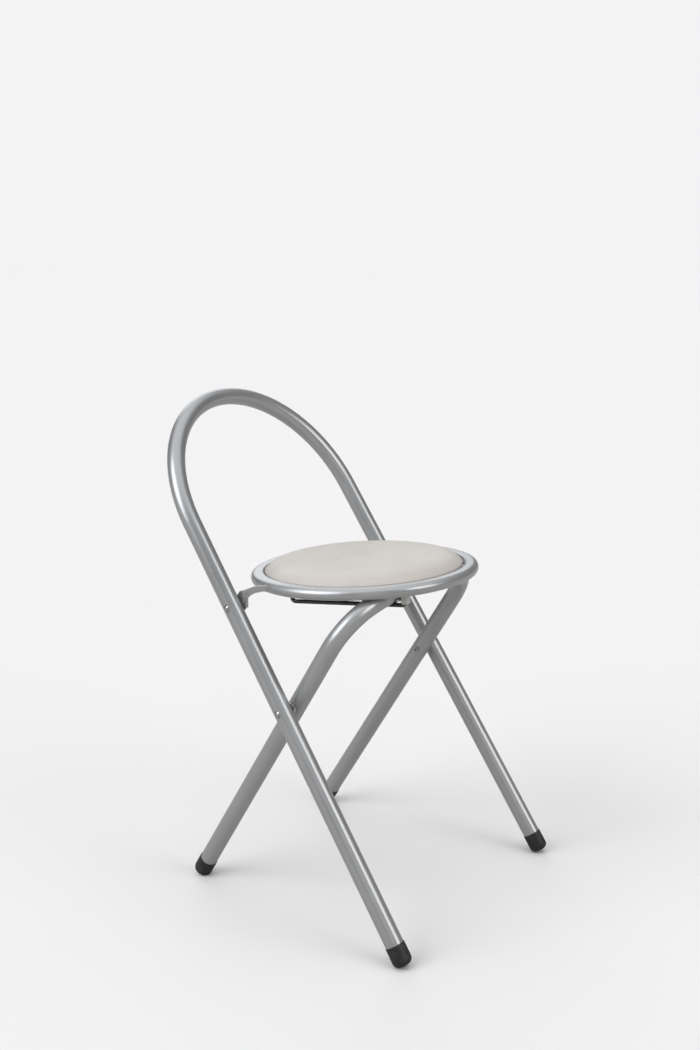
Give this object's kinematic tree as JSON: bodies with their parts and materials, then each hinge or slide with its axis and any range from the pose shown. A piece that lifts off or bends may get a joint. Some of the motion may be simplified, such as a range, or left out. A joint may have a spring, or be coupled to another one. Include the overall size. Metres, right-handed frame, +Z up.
{
  "type": "folding chair",
  "caption": "Tubular steel folding chair with a tall round-topped hoop back, a round padded seat in a tube ring, crossed legs and rounded foot caps.",
  "frame": {"origin": "on the floor, below the middle of the chair's overall box", "axes": "+Z up; +Y towards the chair's back, so the sitter faces -Y; +X towards the sitter's left"},
  "size_m": [0.4124, 0.4744, 0.6996],
  "materials": {
    "frame_paint": "glossy silver-grey metallic lacquer",
    "zinc": "bright zinc plated",
    "rod_steel": "dark phosphated steel wire",
    "vinyl": "smooth matt beige-grey vinyl",
    "foam": "open-cell foam",
    "pan_board": "satin black",
    "nylon": "moulded natural nylon",
    "dark_nylon": "moulded dark nylon",
    "foot_plastic": "matt black moulded rubber"
  },
  "bodies": {
    "back_frame": {"hoop_frame": "frame_paint", "front_right_foot": "foot_plastic", "front_left_foot": "foot_plastic", "right_pivot_rivet": "zinc", "left_pivot_rivet": "zinc", "right_pivot_spacer": "zinc", "left_pivot_spacer": "zinc", "right_seat_rivet": "zinc", "left_seat_rivet": "zinc", "right_seat_washer": "zinc", "left_seat_washer": "zinc"},
    "leg_frame": {"leg_frame": "frame_paint", "rear_right_foot": "foot_plastic", "rear_left_foot": "foot_plastic"},
    "seat": {"seat_ring": "frame_paint", "seat_pan": "pan_board", "seat_foam": "foam", "seat_cover": "vinyl", "right_bracket": "frame_paint", "left_bracket": "frame_paint", "pan_tabs": "frame_paint", "pan_screws": "zinc"},
    "glides": {"right_glide": "dark_nylon", "left_glide": "dark_nylon"},
    "guide_rods": {"right_guide_rod": "rod_steel", "left_guide_rod": "rod_steel", "right_rod_end": "nylon", "left_rod_end": "nylon"}
  },
  "joints": [
    {"name": "fold", "type": "hinge", "parent": "back_frame", "child": "leg_frame", "pos_m": [0, -0.03204, 0.3006], "axis": [-1, 0, 0], "range_deg": [0, 65.3]},
    {"name": "seat_flip", "type": "hinge", "parent": "back_frame", "child": "seat", "pos_m": [0, 0.05429, 0.43054], "axis": [-1, 0, 0], "range_deg": [0, 117.54]},
    {"name": "glide_turn", "type": "hinge", "parent": "leg_frame", "child": "glides", "pos_m": [0, -0.1264, 0.45339], "axis": [-1, 0, 0], "range_deg": [0, 52.24]},
    {"name": "rod_slide", "type": "slide", "parent": "glides", "child": "guide_rods", "axis": [0, -0.9917, 0.1284], "range_m": [0, 0.15856]}
  ],
  "couplings": [
    {"joint": "seat_flip", "follows": "fold", "ratio": 1.8},
    {"joint": "glide_turn", "follows": "fold", "ratio": 0.8},
    {"joint": "rod_slide", "follows": "fold", "m_per_rad": 0.13912}
  ]
}
